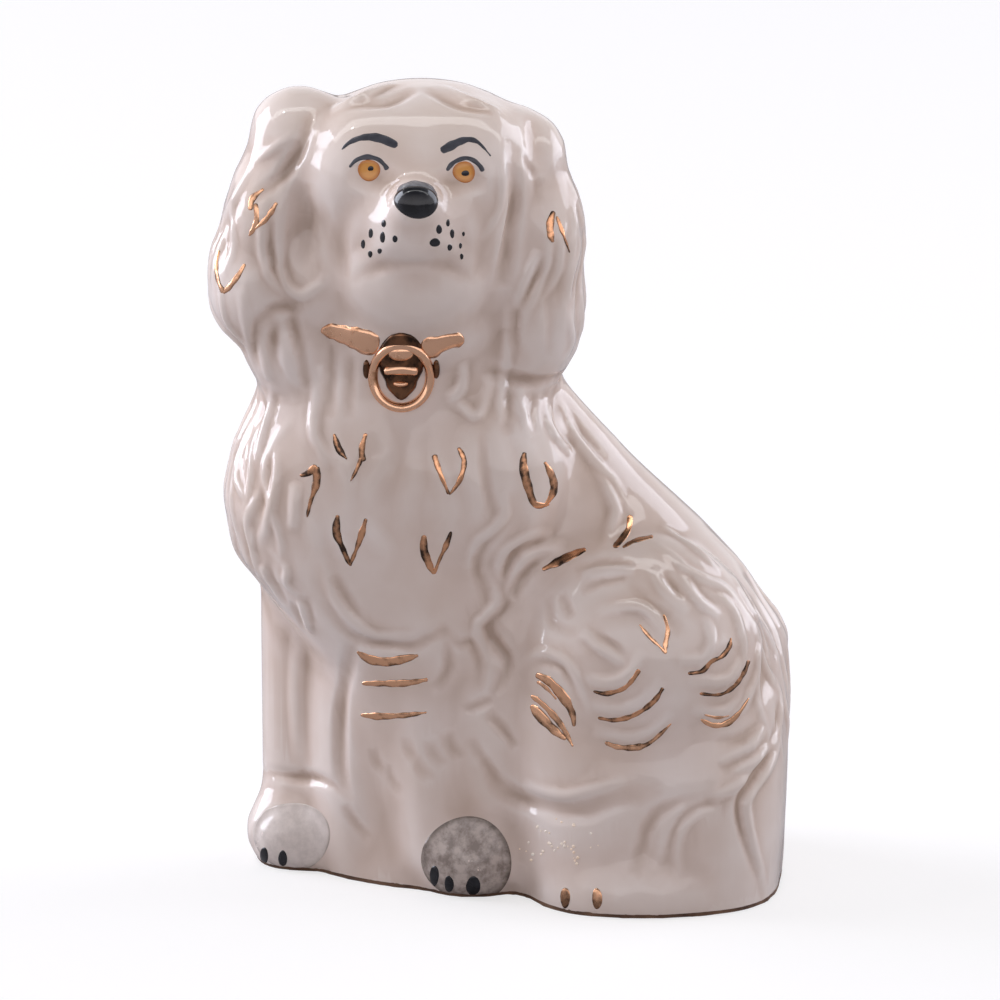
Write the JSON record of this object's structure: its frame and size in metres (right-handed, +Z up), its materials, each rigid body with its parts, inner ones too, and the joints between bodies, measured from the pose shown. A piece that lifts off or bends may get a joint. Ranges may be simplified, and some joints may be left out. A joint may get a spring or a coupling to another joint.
{
  "type": "seated spaniel figurine",
  "caption": "Seated spaniel mantel ornament in glazed hollow earthenware, head turned to the front, with a locket on a chain and gilt brush marks.",
  "frame": {"origin": "bottom centre of the whole object's bounding box, on the surface it stands on", "axes": "+Z up; -Y is the front that the face looks to; +X to the viewer's right, where the rump and tail are"},
  "size_m": [0.0984, 0.0628, 0.1399],
  "materials": {
    "glaze": "warm white glossy lead-free glaze over slip-cast earthenware, unglazed brown line at the foot",
    "gold": "burnished bright gold, brushed on by hand and fired, warm reddish reflections",
    "shaded_gold": "thin bright gold over a dark ground, brown where it reflects the dark side",
    "black_enamel": "slate black on-glaze enamel, glossy, streaked by the brush",
    "orange_enamel": "amber orange on-glaze enamel, darker at the rim",
    "wash": "thin grey enamel sponged on the paws, darker at its edge"
  },
  "bodies": {
    "root": {"body_shell": "glaze", "brow_left": "black_enamel", "brow_right": "black_enamel", "claw_far_inner": "black_enamel", "claw_far_outer": "black_enamel", "claw_hind_inner": "gold", "claw_hind_outer": "gold", "claw_near_inner": "black_enamel", "claw_near_middle": "black_enamel", "claw_near_outer": "black_enamel", "gilt_arc_back_low": "gold", "gilt_arc_back_middle": "gold", "gilt_arc_back_top": "gold", "gilt_arc_front_low": "gold", "gilt_arc_front_middle": "gold", "gilt_arc_front_top": "gold", "gilt_breast_left": "gold", "gilt_breast_middle": "gold", "gilt_chest_edge": "gold", "gilt_chest_left": "gold", "gilt_chest_middle": "gold", "gilt_ear_left_lower": "gold", "gilt_ear_left_upper": "gold", "gilt_ear_right": "gold", "gilt_haunch_dash": "gold", "gilt_haunch_middle": "gold", "gilt_haunch_top": "gold", "gilt_leg_low": "gold", "gilt_leg_middle": "gold", "gilt_leg_top": "gold", "gilt_shoulder": "gold", "gilt_stifle_lower": "gold", "gilt_stifle_upper": "gold", "iris_left": "orange_enamel", "iris_right": "orange_enamel", "lid_left": "black_enamel", "lid_right": "black_enamel", "locket_boss": "shaded_gold", "locket_lug_left": "shaded_gold", "locket_lug_right": "shaded_gold", "locket_ring": "gold", "neck_chain_left": "gold", "neck_chain_right": "gold", "nose": "black_enamel", "paw_wash_far": "wash", "paw_wash_near": "wash", "pupil_left": "black_enamel", "pupil_right": "black_enamel"}
  },
  "joints": []
}
